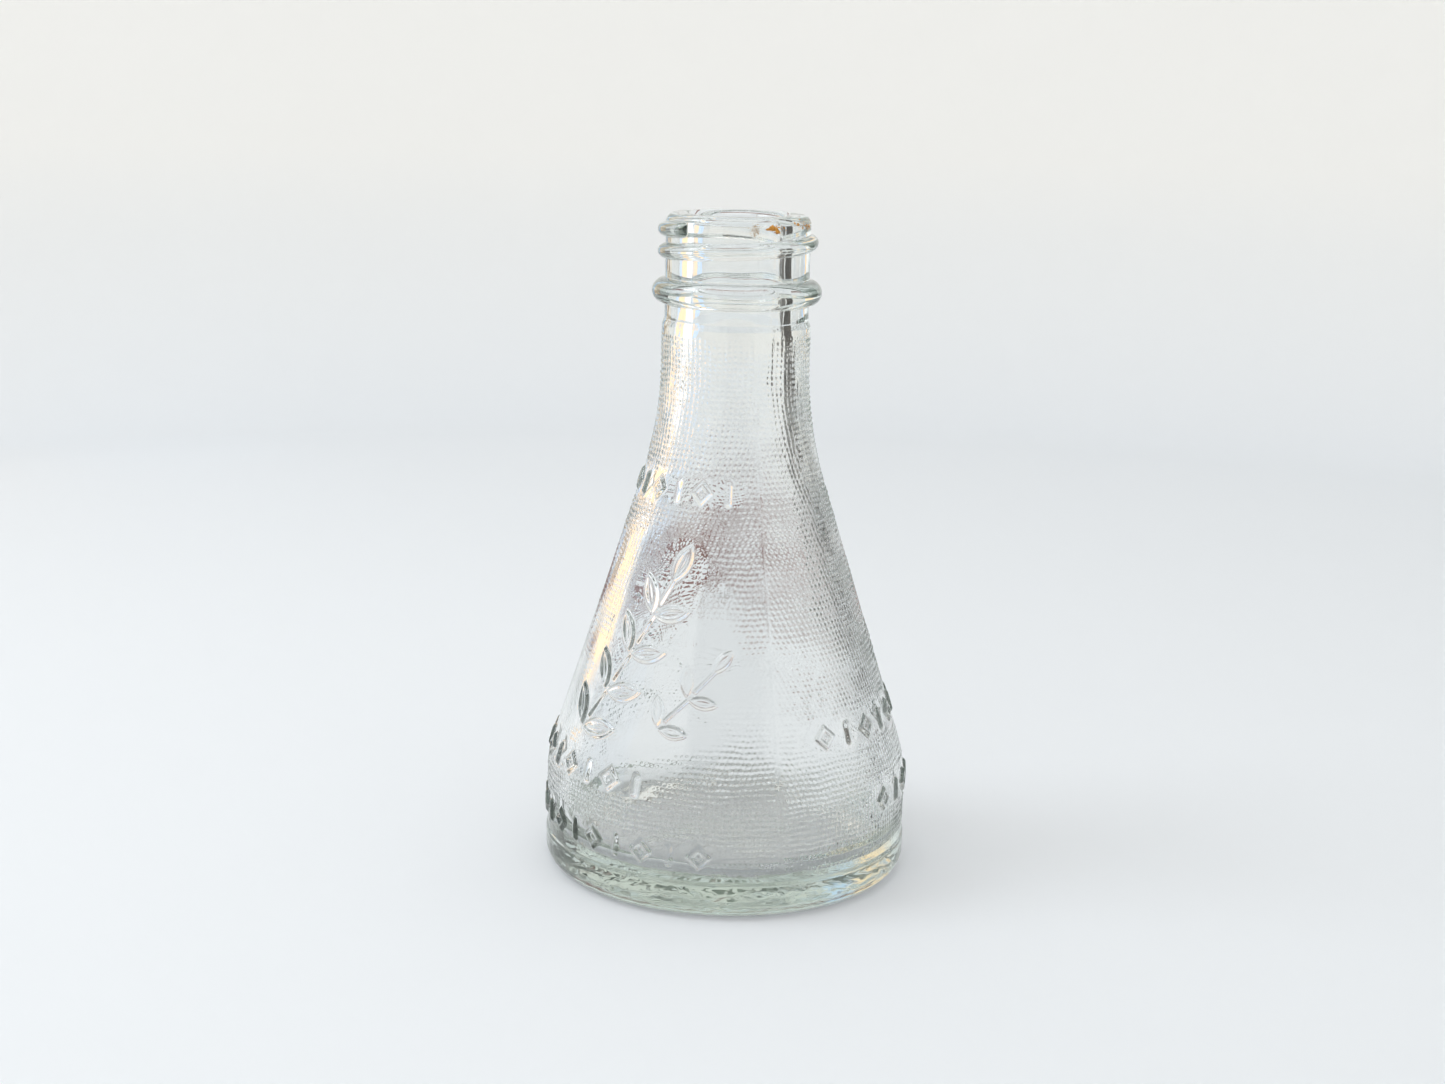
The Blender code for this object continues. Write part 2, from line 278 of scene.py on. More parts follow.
def thread_height(azimuth, z):
    """How far the screw thread stands out, a right-handed helix with a blunt top end."""
    proud = np.zeros(np.broadcast(azimuth, z).shape)
    start = THREAD_END - 360 * THREAD_TURNS
    for turn in (-2, -1, 0):
        along = azimuth + 360 * turn
        middle = THREAD_TOP - (THREAD_END - along) / 360 * PITCH
        fade = np.sin(np.clip((along - start) / THREAD_FADE, 0, 1) * math.pi / 2) ** 1.2
        blunt = np.clip((THREAD_END - along) / THREAD_BLUNT, 0, 1)
        present = (along > start) & (along < THREAD_END)
        size = np.where(present, fade * np.sqrt(1 - (1 - blunt) ** 2), 0)
        half = THREAD_HALF * (0.5 + 0.5 * size)
        t = np.clip(np.abs(z - middle) / np.maximum(half, 1e-6), 0, 1)
        proud = np.maximum(proud, size * THREAD_PROUD * (1 - t ** 2.3) ** 0.72)
    return proud


def stroke(distance, half):
    """A raised stroke with a rounded top: distance from its centre line, and its half width."""
    t = np.clip(np.abs(distance) / half, 0, 1)
    return (1 - t * t) ** 1.5


def lozenge(x, y, width, height):
    """A diamond's outline with a small raised dot in the middle."""
    a, b = width / 2, height / 2
    edge = (np.abs(x) / a + np.abs(y) / b - 1) * a * b / math.hypot(a, b)
    outline = stroke(edge + 0.5, 0.62)
    dot = 0.8 * stroke(np.hypot(x, y), 0.6)
    return np.maximum(outline, dot)


def bar(x, y, width, height):
    """An upright bar with round ends."""
    reach = np.maximum(np.abs(y) - (height - width) / 2, 0)
    return stroke(np.hypot(x, reach), width / 2)


def leaf(x, y, length, width):
    """A pointed oval's outline with a midrib, lying along x."""
    t = np.clip(np.abs(x) / (length / 2), 0, 1)
    edge = np.abs(y) - width / 2 * (1 - t ** 2) ** 0.9
    outside = np.maximum(np.abs(x) - length / 2, 0)
    rim = stroke(np.hypot(edge + 0.45, outside), 0.6) * (edge < 0.7)
    rib = 0.7 * stroke(np.hypot(y, np.maximum(np.abs(x) - 0.33 * length, 0)), 0.45)
    return np.maximum(rim, rib)


class Relief:
    """The raised ornament, built up on a grid of azimuths and heights of the body."""

    def __init__(self, azimuth, height):
        self.azimuth, self.height = azimuth, height
        self.radius = side_r(height)
        self.proud = np.zeros((len(height), len(azimuth)))
        self.near = np.full((len(height), len(azimuth)), 9.0)

    def stamp(self, azimuth, z, size, shape, turn=0.0):
        """Adds a shape of local x and y, within a size of its centre, turned by an angle."""
        reach = size + 2.5
        rows = np.nonzero(np.abs(self.height - z) < reach)[0]
        gap = (self.azimuth - azimuth + 180) % 360 - 180
        columns = np.nonzero(np.abs(np.radians(gap)) * self.radius[rows].max() < reach * 1.4)[0]
        if len(rows) == 0 or len(columns) == 0:
            return
        across = np.radians(gap[columns])[None, :] * self.radius[rows][:, None]
        up = ((self.height[rows] - z) / math.cos(CONE if z > STRAIGHT else 0))[:, None] + 0 * across
        cosine, sine = math.cos(math.radians(turn)), math.sin(math.radians(turn))
        x, y = across * cosine + up * sine, -across * sine + up * cosine
        block = np.ix_(rows, columns)
        self.proud[block] = np.maximum(self.proud[block], shape(x, y))
        self.near[block] = np.minimum(self.near[block], np.maximum(np.hypot(x, y) - size, 0))

    def band(self, z, first, last, spacing, height):
        """A level band of lozenges and bars by turns."""
        span = math.radians(last - first) * float(side_r(z))
        count = max(2, int(span / spacing))
        for index in range(count):
            azimuth = first + (last - first) * (index + 0.5) / count
            if index % 2:
                self.stamp(azimuth, z, height / 2, lambda x, y: bar(x, y, 0.34 * spacing, height))
            else:
                self.stamp(azimuth, z, height / 2, lambda x, y: lozenge(x, y, 0.9 * spacing, height))

    def sprig(self, start, end, pairs, span):
        """A slanting sprig: pairs of leaves along a stem, and one leaf at its tip."""
        (first_azimuth, first_z), (last_azimuth, last_z) = start, end
        rise = 1.07 * (last_z - first_z) / pairs
        lean = math.atan2((last_z - first_z) / rise, (last_azimuth - first_azimuth) / span)
        for index in range(pairs + 1):
            share = index / pairs
            azimuth = first_azimuth + (last_azimuth - first_azimuth) * share
            z = first_z + (last_z - first_z) * share
            for side in ((1, -1) if index < pairs else (0,)):
                self.sprig_leaf(azimuth, z, side, lean, rise, span)
            if index < pairs:
                self.sprig_stem(azimuth, z, last_azimuth - first_azimuth, last_z - first_z, pairs)

    def sprig_leaf(self, azimuth, z, side, lean, rise, span):
        """One leaf, to the left or right of the stem or at its tip."""
        level = math.radians(span) * float(side_r(z))
        place = lean + math.radians(90 * side)
        point = lean + math.radians(52 * side)
        out = 0.42 if side else 0.0
        turn = math.degrees(math.atan2(math.sin(point) * rise, math.cos(point) * level))
        length = math.hypot(math.sin(point) * rise, math.cos(point) * level)
        self.stamp(azimuth + out * span * math.cos(place), z + out * rise * math.sin(place),
                   length / 2, lambda x, y: leaf(x, y, length, 0.42 * length), turn)

    def sprig_stem(self, azimuth, z, span_azimuth, span_z, pairs):
        """The length of stem from one pair of leaves towards the next."""
        across = math.radians(span_azimuth) * float(side_r(z))
        turn = math.degrees(math.atan2(span_z, across))
        length = math.hypot(span_z, across) / pairs
        self.stamp(azimuth + span_azimuth / pairs * 0.42, z + span_z / pairs * 0.42, length / 2,
                   lambda x, y: 0.85 * bar(y, x, 0.75, length * 0.95), turn)


def ornament(relief):
    """Every band and sprig, in the places the CAD model has them."""
    band, margin, spacing = 3.9, 2.1, 4.3
    half = band / 2
    low_z = HEEL + margin + half
    second_z = STRAIGHT + 0.1 * margin + half
    base = second_z + half
    room = FLARE_FOOT - base
    relief.band(FLARE_FOOT + 0.35 * margin, -92, 6, 0.84 * spacing, band)
    relief.sprig((-56, base + 0.14 * room), (-24, base + 0.76 * room), 4, 17)
    relief.sprig((-22, base + 0.19 * room), (-2, base + 0.42 * room), 2, 11)
    relief.band(second_z, -104, -24, spacing, band)
    relief.band(low_z, -104, -3, spacing, band)
    relief.band(STRAIGHT + 8.9, 30, 104, spacing, band)
    relief.band(STRAIGHT - 0.1 * margin - half, 54, 104, spacing, band)


def seam_gap(azimuth):
    """Degrees from the nearer of the two mould seams, which are half a turn apart."""
    return (azimuth - SEAM + 90) % 180 - 90


def weave_height(azimuth, z, radius):
    """The cloth-like pattern: crossing ribs that keep their spacing on each half of the mould."""
    middle = (azimuth - SEAM) % 180 - 90
    across = np.radians(middle)[None, :] * radius[:, None]
    slant = np.concatenate([[0], np.cumsum(np.hypot(np.diff(radius), np.diff(z)))])[:, None]
    half = np.where((azimuth - SEAM) % 360 < 180, 0.0, 0.37)[None, :]
    sway = 0.12 * waves(azimuth[None, :], z[:, None], 10, 9.0, 5) + 0.06 * grainy(azimuth, z, 2.4, 6)
    lift = 0.13 * grainy(azimuth, z, 3.6, 7) + 0.07 * grainy(azimuth, z, 1.3, 8)
    warp = np.cos(math.tau * (across / WEAVE + sway))
    weft = np.cos(math.tau * (slant / (WEAVE * 1.04) + half + lift))
    cloth = 0.55 * warp + 0.5 * weft + 0.55 * warp * weft
    return cloth * (1 + 0.4 * grainy(azimuth, z, 0.9, 9)) + 0.22 * grainy(azimuth, z, 0.55, 10)


def cloth_share(az, height, near, from_seam):
    """How strong the weave is, about 0 to 1: weak on a smooth panel at the front left, none on ornament."""
    wrapped = (az + 180) % 360 - 180
    panel = (np.abs(wrapped + 48) / 50) ** 3 + (np.abs(height - 36) / 19) ** 3
    panel += 0.22 * waves(az, height, 8, 20.0, 8)
    share = (0.16 + 0.84 * smooth(0.7, 1.2, panel)) * smooth(0.1, 1.6, near)
    share = share * (1 - 0.35 * smooth(60.0, 80.0, height))
    patchy = 0.72 + 0.28 * waves(az, height, 12, 14.0, 3)
    return share * np.clip(patchy, 0.15, 1.1) * smooth(0.3, 1.6, np.abs(from_seam) + 0.5)


def body_height(azimuth, z):
    """How far the body's skin stands out from its plain profile, on a grid."""
    radius = side_r(z)
    relief = Relief(azimuth, z)
    ornament(relief)
    az, height = azimuth[None, :], z[:, None]
    inside = smooth(0.0, 1.6, height - HEEL - 0.6) * smooth(0.0, 1.2, NECK_TOP - 0.5 - height)
    from_seam = np.radians(seam_gap(az)) * radius[:, None]
    raised = RELIEF * relief.proud
    cloth = cloth_share(az, height, relief.near, from_seam) * weave_height(azimuth, z, radius)
    seam = np.exp(-(from_seam / BODY_SEAM_HALF) ** 2)
    sag = waves(az, height, 14, 16.0, 11)
    return (raised + WEAVE_PROUD * cloth + BODY_SEAM * seam + BODY_SAG * sag) * inside


def heel_height(azimuth, heel):
    """The uneven heel band, the stippled bearing ring and the rippled push-up."""
    travel = np.concatenate([[0], np.cumsum(np.hypot(*np.diff(heel, axis=0).T))])[:, None]
    raised = heel[:, 1][:, None]
    under = smooth(1.2, 0.2, raised) * smooth(26.6, 25.6, heel[:, 0][:, None])
    ripples = waves(azimuth * 5, travel, 18, 3.2, 31)
    stipple = waves(azimuth * 16, travel, 18, 1.1, 32)
    on_band = smooth(HEEL, HEEL - 1.0, raised)
    return -(HEEL_RIPPLE * np.abs(ripples) * on_band + HEEL_STIPPLE * np.abs(stipple) * under)


def finish_height(azimuth, points):
    """The thread, the mould seam and the slight unevenness of the finish."""
    z = points[:, 1][:, None]
    az = (azimuth[None, :] + 180) % 360 - 180
    between = smooth(TOP - 0.6, TOP - 1.3, z) * smooth(BEAD_TOP + 0.1, BEAD_TOP + 0.6, z)
    outside = (np.arange(len(points)) > 6)[:, None]
    from_seam = np.radians(seam_gap(azimuth))[None, :] * FINISH_R
    seam = np.exp(-(from_seam / FINISH_SEAM_HALF) ** 2) * smooth(TOP - 0.2, TOP - 1.4, z)
    sag = waves(azimuth[None, :], z, 10, 6.0, 21) * smooth(TOP, TOP - 1.5, z)
    return outside * (thread_height(az, z) * between + FINISH_SEAM * seam + FINISH_SAG * sag)


def cavity_height(azimuth, points):
    """The uneven inside: nearly true in the bore and wavy in the body."""
    depth = points[:, 1][:, None]
    az = azimuth[None, :]
    sag = 0.075 * waves(az, depth, 16, 22.0, 41) * smooth(TOP - 14, TOP - 24, depth)
    sag += 0.02 * waves(az, depth, 16, 30.0, 44) * smooth(TOP - 2, TOP - 8, depth)
    sag += 0.05 * waves(az, depth, 16, 9.0, 42) * smooth(TOP - 16, TOP - 26, depth)
    sag += 0.04 * waves(az * 3, depth, 14, 40.0, 43) * smooth(TOP - 10, TOP - 20, depth)
    return sag * smooth(0.0, 6.0, points[:, 0][:, None])


# ---------------------------------------------------------------- mesh
def normals_of(points):
    """Unit normals of a profile, to the left of its travel."""
    along = np.gradient(points, axis=0)
    along /= np.maximum(np.hypot(*along.T)[:, None], 1e-9)
    return np.stack([-along[:, 1], along[:, 0]], -1)


def turned(points, height, azimuth):
    """A grid of points (rows, columns, 3) of a profile turned round, pushed out along its normals."""
    out = normals_of(points)
    r = points[:, 0][:, None] + height * out[:, 0][:, None]
    z = points[:, 1][:, None] + height * out[:, 1][:, None]
    turn = np.radians(azimuth)[None, :]
    return np.stack([r * np.sin(turn), -r * np.cos(turn), z + 0 * turn], -1)


class MeshParts:
    """Vertices, faces and map coordinates of a mesh that is put together ring by ring."""

    def __init__(self):
        self.points, self.maps, self.faces, self.face_maps, self.count = [], [], {}, {}, 0

    def grid(self, block, top, foot):
        """Adds a block of rings, whose map runs from one height to another, and joins its rows."""
        rows, columns = block.shape[:2]
        index = self.count + np.arange(rows * columns).reshape(rows, columns)
        self.points.append(block.reshape(-1, 3))
        self.count += rows * columns
        v = np.linspace(top, foot, rows)
        self.join(index[:-1], index[1:], v[:-1], v[1:])
        return index[0], index[-1], v[0], v[-1]

    def join(self, upper, lower, v_upper, v_lower):
        """Joins rows of equal rings with quads."""
        upper, lower = np.atleast_2d(upper), np.atleast_2d(lower)
        columns = upper.shape[1]
        after = np.roll(np.arange(columns), -1)
        quads = np.stack([upper, lower, lower[:, after], upper[:, after]], -1)
        u = np.arange(columns) / columns
        u2 = u + 1 / columns
        vu, vl = np.atleast_1d(v_upper)[:, None], np.atleast_1d(v_lower)[:, None]
        zero = np.zeros_like(quads[..., 0], float)
        maps = np.stack([np.stack([zero + u, zero + vu], -1), np.stack([zero + u, zero + vl], -1),
                         np.stack([zero + u2, zero + vl], -1), np.stack([zero + u2, zero + vu], -1)], -2)
        self.add(quads.reshape(-1, 4), maps.reshape(-1, 4, 2))

    def stitch(self, fine, coarse, v_fine, v_coarse, fine_above):
        """Joins a fine ring to a coarse one whose points are a whole number of times fewer."""
        ratio = len(fine) // len(coarse)
        cell = np.arange(len(coarse))
        after = np.roll(cell, -1)
        run = (cell[:, None] * ratio + np.arange(ratio + 1)[None, :])
        u_fine = run / len(fine)
        ring = fine[run % len(fine)]
        faces = np.concatenate([ring, coarse[after][:, None], coarse[cell][:, None]], 1)
        u = np.concatenate([u_fine, (cell[:, None] + 1) / len(coarse), cell[:, None] / len(coarse)], 1)
        v = np.concatenate([np.full(run.shape, v_fine), np.full((len(cell), 2), v_coarse)], 1)
        maps = np.stack([u, v], -1)
        if fine_above:
            faces, maps = faces[:, ::-1], maps[:, ::-1]
        self.add(faces, maps)

    def cap(self, ring, point, v_ring, v_point, upward):
        """Closes a ring with a fan to one point."""
        centre = self.count
        self.points.append(np.array([point], float))
        self.count += 1
        after = np.roll(ring, -1)
        hub = np.full(len(ring), centre)
        u = np.arange(len(ring)) / len(ring)
        width = 1 / len(ring)
        faces = np.stack([ring, hub, after], 1)
        maps = np.stack([np.stack([u, u * 0 + v_ring], -1),
                         np.stack([u + width / 2, u * 0 + v_point], -1),
                         np.stack([u + width, u * 0 + v_ring], -1)], 1)
        if upward:
            faces, maps = faces[:, ::-1], maps[:, ::-1]
        self.add(faces, maps)

    def add(self, faces, maps):
        """Keeps faces that have the same number of corners."""
        self.faces.setdefault(faces.shape[1], []).append(faces)
        self.face_maps.setdefault(faces.shape[1], []).append(maps)

    def mesh(self, name):
        """The Blender mesh, in metres, shaded smooth, with its map."""
        mesh = bpy.data.meshes.new(name)
        points = metres(np.concatenate(self.points)).astype(np.float32)
        corners, starts, maps, at = [], [], [], 0
        for size in sorted(self.faces):
            faces = np.concatenate(self.faces[size])
            corners.append(faces.ravel())
            starts.append(at + size * np.arange(len(faces)))
            maps.append(np.concatenate(self.face_maps[size]).reshape(-1, 2))
            at += faces.size
        corners = np.concatenate(corners).astype(np.int32)
        starts = np.concatenate(starts).astype(np.int32)
        mesh.vertices.add(len(points))
        mesh.vertices.foreach_set("co", points.ravel())
        mesh.loops.add(len(corners))
        mesh.loops.foreach_set("vertex_index", corners)
        mesh.polygons.add(len(starts))
        mesh.polygons.foreach_set("loop_start", starts)
        mesh.update(calc_edges=True)
        layer = mesh.uv_layers.new(name="OFBake")
        layer.uv.foreach_set("vector", np.concatenate(maps).astype(np.float32).ravel())
        mesh.validate()
        mesh.shade_smooth()
        return mesh


def bottle_mesh():
    """The whole bottle as one closed mesh, with more points round the body than elsewhere."""
    rings = {"finish": COLUMNS // 2, "body": COLUMNS, "heel": COLUMNS // 4, "cavity": COLUMNS // 4}
    angles = {key: np.arange(count) * 360 / count for key, count in rings.items()}
    parts = MeshParts()

    finish = finish_profile(0.085)
    lip_and_neck = parts.grid(turned(finish, finish_height(angles["finish"], finish), angles["finish"]),
                              0.80, 0.605)
    body = body_profile(0.155)
    skin = parts.grid(turned(body[1:], body_height(angles["body"], body[1:, 1]), angles["body"]),
                      0.60, 0.05)
    heel = heel_profile(0.30)
    base = parts.grid(turned(heel, heel_height(angles["heel"][None, :], heel), angles["heel"]),
                      0.047, 0.002)
    cavity = cavity_profile(0.55)
    sag = cavity_height(angles["cavity"], cavity)
    inside = parts.grid(turned(cavity, sag, angles["cavity"])[:, ::-1], 0.81, 0.998)

    parts.stitch(skin[0], lip_and_neck[1], skin[2], lip_and_neck[3], False)
    parts.stitch(skin[1], base[0], skin[3], base[2], True)
    parts.cap(base[1], (0, 0, PUSH_UP), base[3], 0.0, False)
    parts.stitch(lip_and_neck[0], inside[0][::-1], lip_and_neck[2], 0.81, False)
    parts.cap(inside[1], (0, 0, FLOOR_Z + FLOOR_CROWN), inside[3], 1.0, False)
    return parts.mesh("glass_bottle_skin")


# ---------------------------------------------------------------- materials
class Nodes:
    """A short way to build a material's nodes."""

    def __init__(self, name):
        self.material = bpy.data.materials.new(name)
        self.material.use_nodes = True
        self.tree = self.material.node_tree
        self.shader = self.tree.nodes["Principled BSDF"]
        self.output = self.tree.nodes["Material Output"]

    def node(self, kind, inputs=None, **settings):
        """A node with its settings; an input is a plain value or another node's output."""
        node = self.tree.nodes.new("ShaderNode" + kind)
        for key, value in settings.items():
            setattr(node, key, value)
        for key, value in (inputs or {}).items():
            self.feed(node.inputs[key], value)
        return node.outputs[0]

    def feed(self, socket, value):
        """Sets a socket to a plain value, or links another node's output to it."""
        if isinstance(value, bpy.types.NodeSocket):
            self.tree.links.new(value, socket)
        else:
            socket.default_value = value

    def noise(self, vector, scale, detail=3.0, roughness=0.5):
        """Smooth noise from 0 to 1."""
        return self.node("TexNoise", {"Vector": vector, "Scale": scale, "Detail": detail,
                                      "Roughness": roughness})

    def spread(self, value, low, high, to_low, to_high):
        """One range of values turned into another, held at its ends."""
        return self.node("MapRange", {"Value": value, "From Min": low, "From Max": high,
                                      "To Min": to_low, "To Max": to_high})

    def level(self, vector):
        """The height of a point."""
        self.node("SeparateXYZ", {"Vector": vector})
        return self.tree.nodes[-1].outputs["Z"]

    def blend(self, share, low, high):
        """One colour turning into another."""
        self.node("Mix", data_type="RGBA")
        mix = self.tree.nodes[-1]
        factor, first, second = (mix.inputs[index] for index in (0, 6, 7))
        self.feed(factor, share)
        self.feed(first, (*low, 1.0))
        self.feed(second, (*high, 1.0))
        return mix.outputs[2]

    def place(self):
        """The point in the object's own space, in metres."""
        return self.tree.nodes.new("ShaderNodeTexCoord").outputs["Object"]

    def paint(self, share, low, high):
        """A base colour that runs from one colour to another."""
        self.feed(self.shader.inputs["Base Color"], self.blend(share, low, high))

    def bumps(self, height, strength, distance):
        """A fine relief on the surface, its distance in metres."""
        bump = self.node("Bump", {"Height": height, "Strength": strength, "Distance": distance})
        self.feed(self.shader.inputs["Normal"], bump)


def glass_material():
    """Faintly green-grey clear glass, with handling marks in its gloss and a fine unevenness."""
    nodes = Nodes("clear_glass_aged")
    nodes.feed(nodes.shader.inputs["Base Color"], (1.0, 1.0, 1.0, 1.0))
    nodes.feed(nodes.shader.inputs["Transmission Weight"], 1.0)
    nodes.feed(nodes.shader.inputs["IOR"], 1.52)
    place = nodes.place()
    smears = nodes.noise(place, 95.0, 5.0, 0.62)
    nodes.feed(nodes.shader.inputs["Roughness"], nodes.spread(smears, 0.48, 0.76, 0.004, 0.06))
    nodes.bumps(nodes.noise(place, 1500.0, 2.0), 0.12, 0.00002)
    tint = nodes.tree.nodes.new("ShaderNodeVolumeAbsorption")
    tint.inputs["Color"].default_value = (0.67, 0.76, 0.69, 1.0)
    tint.inputs["Density"].default_value = 26.0
    nodes.tree.links.new(tint.outputs[0], nodes.output.inputs["Volume"])
    return nodes.material


def paper_with_painted_glow_material():
    """Matt paper for the stage, cool on the floor and warmer up the wall, with a faint even glow: painted
    fill light that lifts the shade under the bottle.
    """
    nodes = Nodes("pale_paper")
    place = nodes.place()
    height = nodes.level(place)
    share = nodes.spread(height, metres(2.0), metres(90.0), 0.0, 1.0)
    nodes.paint(share, (0.69, 0.72, 0.75), (0.80, 0.785, 0.75))
    # Painted fill light: a faint cool glow over all the paper, lifting the bottle's shadow on the floor.
    nodes.feed(nodes.shader.inputs["Emission Color"], (0.93, 0.96, 1.0, 1.0))
    nodes.feed(nodes.shader.inputs["Emission Strength"], 0.15)
    nodes.feed(nodes.shader.inputs["Roughness"], 0.9)
    nodes.feed(nodes.shader.inputs["Specular IOR Level"], 0.2)
    nodes.bumps(nodes.noise(place, 900.0, 3.0), 0.08, 0.0001)
    return nodes.material


def rust_material():
    """Crusty orange-brown rust, darker in its hollows."""
    nodes = Nodes("rust_flecks")
    grain = nodes.noise(nodes.place(), 5200.0, 4.0, 0.65)
    share = nodes.spread(grain, 0.36, 0.66, 0.0, 1.0)
    nodes.paint(share, (0.36, 0.13, 0.025), (0.85, 0.42, 0.07))
    nodes.feed(nodes.shader.inputs["Roughness"], nodes.spread(grain, 0.3, 0.7, 0.95, 0.7))
    nodes.bumps(grain, 0.6, 0.00004)
    return nodes.material


def dust_material():
    """Dry tan dust left where the metal cap sat."""
    nodes = Nodes("tan_dust")
    grain = nodes.noise(nodes.place(), 4200.0, 3.0)
    share = nodes.spread(grain, 0.35, 0.65, 0.0, 1.0)
    nodes.paint(share, (0.40, 0.27, 0.15), (0.66, 0.52, 0.34))
    nodes.feed(nodes.shader.inputs["Roughness"], nodes.spread(grain, 0.3, 0.7, 0.95, 0.8))
    return nodes.material


def grit_material():
    """Black grit caught in the glass."""
    nodes = Nodes("black_grit")
    grain = nodes.noise(nodes.place(), 6000.0, 2.0)
    share = nodes.spread(grain, 0.4, 0.6, 0.0, 1.0)
    nodes.paint(share, (0.02, 0.018, 0.015), (0.09, 0.075, 0.06))
    nodes.feed(nodes.shader.inputs["Roughness"], 0.6)
    return nodes.material


# ---------------------------------------------------------------- the bottle
def add_object(name, mesh, material):
    """A new object of a mesh, in the scene."""
    thing = bpy.data.objects.new(name, mesh)
    mesh.materials.append(material)
    bpy.context.scene.collection.objects.link(thing)
    return thing


def make_bottle():
    """The glass bottle, in place of the frame's own."""
    bottle = add_object("glass_bottle_skin", bottle_mesh(), glass_material())
    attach(bottle, "root")
    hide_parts(NODE)


# ---------------------------------------------------------------- rust, dust and grit
def finish_surface_r(z):
    """The radius of the threaded neck's outside at a height near the lip."""
    over = max(z - TOP + LIP_ROUND, 0.0)
    return FINISH_R - LIP_ROUND + math.sqrt(max(LIP_ROUND ** 2 - over ** 2, 0.01))


FLECK_LIFT = 0.022  # how far a crust's outside is off the plain glass, before its thickness
FLECK_BACK = 0.004  # and its rim and back


class Flecks:
    """Small irregular crusts that lie on the outside of the glass."""

    def __init__(self, surface_r):
        self.surface_r, self.points, self.faces = surface_r, [], []

    def fleck(self, azimuth, z, across, up, thick):
        """One crust: a bumpy cap over a flat back, two bands of faces and a crown."""
        count, first = 16, len(self.points)
        angle = np.arange(count) * math.tau / count
        edge = 1 + sum(RNG.uniform(0.08, 0.26) / k ** 0.5 * np.sin(k * angle + RNG.uniform(0, math.tau))
                       for k in (2, 3, 5))
        for share, lift in ((1.0, 0.0), (0.8, 0.6), (0.45, 0.95)):
            for turn, size in zip(angle, edge):
                level = z + 0.5 * up * share * size * math.sin(turn)
                out = self.surface_r(level)
                bearing = math.radians(azimuth) + 0.5 * across * share * size * math.cos(turn) / out
                out += FLECK_LIFT + thick * lift * RNG.uniform(0.8, 1.2) if lift else FLECK_BACK
                self.points.append((out * math.sin(bearing), -out * math.cos(bearing), level))
        crown = self.surface_r(z) + FLECK_LIFT + thick
        turn = math.radians(azimuth)
        self.points.append((crown * math.sin(turn), -crown * math.cos(turn), z))
        top = len(self.points) - 1
        for ring in range(2):
            for i in range(count):
                a, b = first + ring * count + i, first + ring * count + (i + 1) % count
                self.faces.append((a, b, b + count, a + count))
        last = first + 2 * count
        self.faces += [(last + i, last + (i + 1) % count, top) for i in range(count)]
        self.faces.append(tuple(first + i for i in reversed(range(count))))

    def scatter(self, count, azimuth, z, spread_az, spread_z, small, large, thick):
        """Many small crusts round a place."""
        for _ in range(count):
            size = math.exp(RNG.uniform(math.log(small), math.log(large)))
            self.fleck(azimuth + RNG.normal() * spread_az, min(z + RNG.normal() * spread_z, TOP - 0.35),
                       size * RNG.uniform(0.8, 1.5), size, thick * RNG.uniform(0.6, 1.2))

    def piece(self, name, material):
        """All the crusts as one object on the bottle."""
        mesh = bpy.data.meshes.new(name)
        mesh.from_pydata([tuple(metres(v) for v in point) for point in self.points], [], self.faces)
        mesh.validate()
        mesh.shade_smooth()
        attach(add_object(name, mesh, material), "root")


def make_stains():
    """The rust and the dust that a steel cap left round the lip, and grit low on the body."""
    rust = Flecks(finish_surface_r)
    rust.fleck(27.5, 97.72, 1.55, 0.78, 0.07)
    rust.fleck(31.5, 97.25, 0.85, 0.6, 0.06)
    rust.fleck(23.0, 97.62, 0.5, 0.4, 0.05)
    rust.scatter(22, 29.0, 97.6, 4.0, 0.3, 0.1, 0.4, 0.04)
    rust.scatter(26, 64.0, 97.95, 7.0, 0.45, 0.1, 0.5, 0.035)
    rust.piece("rust_flecks", rust_material())
    dust = Flecks(finish_surface_r)
    dust.scatter(170, 13.0, 97.5, 2.0, 0.45, 0.04, 0.16, 0.012)
    dust.scatter(140, 66.0, 97.9, 8.0, 0.5, 0.04, 0.16, 0.012)
    dust.scatter(40, 150.0, 97.7, 9.0, 0.4, 0.03, 0.10, 0.012)
    dust.piece("tan_dust", dust_material())
    grit = Flecks(lambda z: float(side_r(z)) - 0.01)
    grit.fleck(52.0, 12.6, 0.32, 0.62, 0.03)
    grit.fleck(37.0, 10.2, 0.22, 0.28, 0.03)
    grit.scatter(7, 45.0, 9.5, 22.0, 2.0, 0.08, 0.2, 0.02)
    grit.piece("black_grit", grit_material())


# ---------------------------------------------------------------- stage, lights and camera
ROOM_R = 450.0
ROOM_HEIGHT = 620.0
ROOM_COLUMNS = 96
COVE_R = 60.0
FLOOR_DROP = 0.05  # keeps the floor off the bottle's base
WINDOW_R, WINDOW_FOOT, WINDOW_TOP = 400, 4, 420  # the tall panels' distance, foot and top
EDGE_R, EDGE_FOOT, EDGE_TOP = 130, 17, 29  # the brown edge seen through the cone
CAMERA_DISTANCE, CAMERA_HEIGHT = 311.444, 120.189
CAMERA_PITCH, CAMERA_YAW, CAMERA_ROLL = 12.742, -0.239, 1.302  # degrees
CAMERA_LENS, SENSOR = 52.48, 36.0


def make_room():
    """A pale floor that turns up into a round wall, open above."""
    floor = join([line(1.0, -FLOOR_DROP, ROOM_R - COVE_R, -FLOOR_DROP, 20.0),
                  arc(ROOM_R - COVE_R, COVE_R - FLOOR_DROP, COVE_R, COVE_R, -90, 0, 16),
                  line(ROOM_R, COVE_R, ROOM_R, ROOM_HEIGHT, 40.0)])
    azimuth = np.arange(ROOM_COLUMNS) * 360 / ROOM_COLUMNS
    flat = np.zeros((len(floor), ROOM_COLUMNS))
    parts = MeshParts()
    ring = parts.grid(turned(floor, flat, azimuth)[:, ::-1], 0.0, 1.0)
    parts.cap(ring[0], (0, 0, -FLOOR_DROP), 0.0, 0.0, True)
    room = add_object("room", parts.mesh("room"), paper_with_painted_glow_material())


